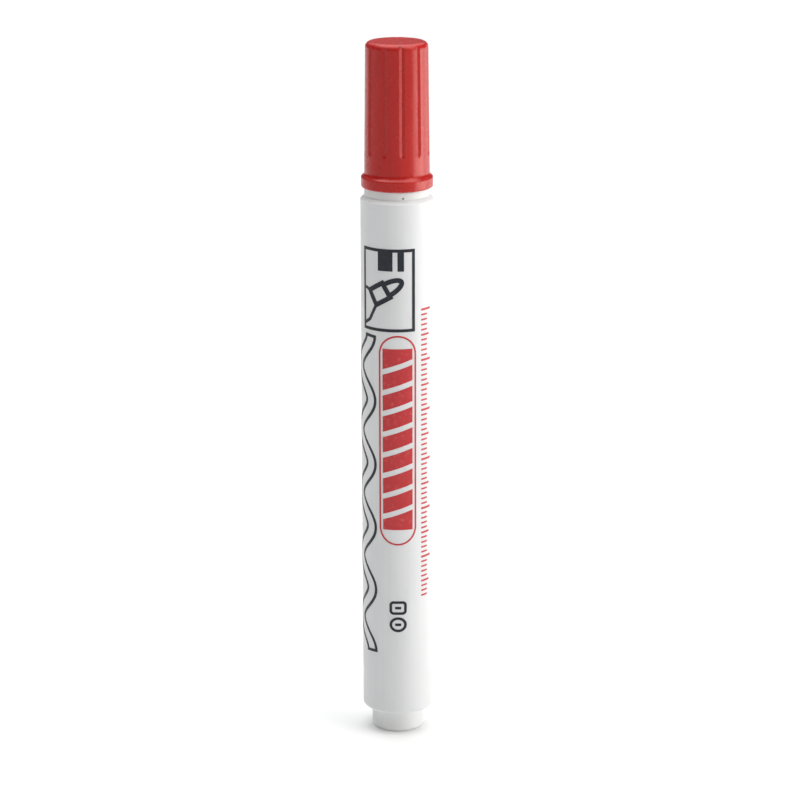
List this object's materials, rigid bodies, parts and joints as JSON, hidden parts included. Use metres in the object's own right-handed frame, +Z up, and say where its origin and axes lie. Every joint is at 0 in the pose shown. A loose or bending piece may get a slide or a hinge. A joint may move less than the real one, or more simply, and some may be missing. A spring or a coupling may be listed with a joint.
{
  "type": "whiteboard marker",
  "caption": "Capped whiteboard marker with a straight white barrel, bullet nib, fibre ink reservoir, tail plug with posting boss, and a fluted red push-on cap with a sealing inner cap.",
  "frame": {"origin": "centre of the rest face under the tail boss", "axes": "+Z up along the marker's axis, towards the cap; -Y is the side with the pictogram"},
  "size_m": [0.0142, 0.014, 0.138],
  "materials": {
    "barrel_plastic": "moulded white polypropylene, satin gloss",
    "holder_plastic": "moulded white polypropylene, satin",
    "plug_plastic": "moulded white polypropylene, satin",
    "nib_fibre": "bonded acrylic fibre soaked with red ink",
    "wadding": "fibre wadding soaked with red ink",
    "film": "clear thin film",
    "cap_plastic": "moulded red polypropylene, glossy",
    "seal_plastic": "natural polyethylene, satin",
    "print_black": "screen-printed black ink",
    "print_red": "screen-printed red ink"
  },
  "bodies": {
    "barrel": {"barrel": "barrel_plastic", "front_section": "holder_plastic", "tail_plug": "plug_plastic", "nib": "nib_fibre", "reservoir_core": "wadding", "reservoir_film": "film"},
    "seal": {"inner_cap": "seal_plastic"},
    "cap": {"cap_shell": "cap_plastic"}
  },
  "joints": [
    {"name": "cap_pull", "type": "slide", "parent": "barrel", "child": "seal", "axis": [0, 0, 1], "range_m": [0, 0.04]},
    {"name": "cap_turn", "type": "hinge", "parent": "seal", "child": "cap", "pos_m": [0, 0, 0.13], "axis": [0, 0, 1], "continuous": true}
  ]
}
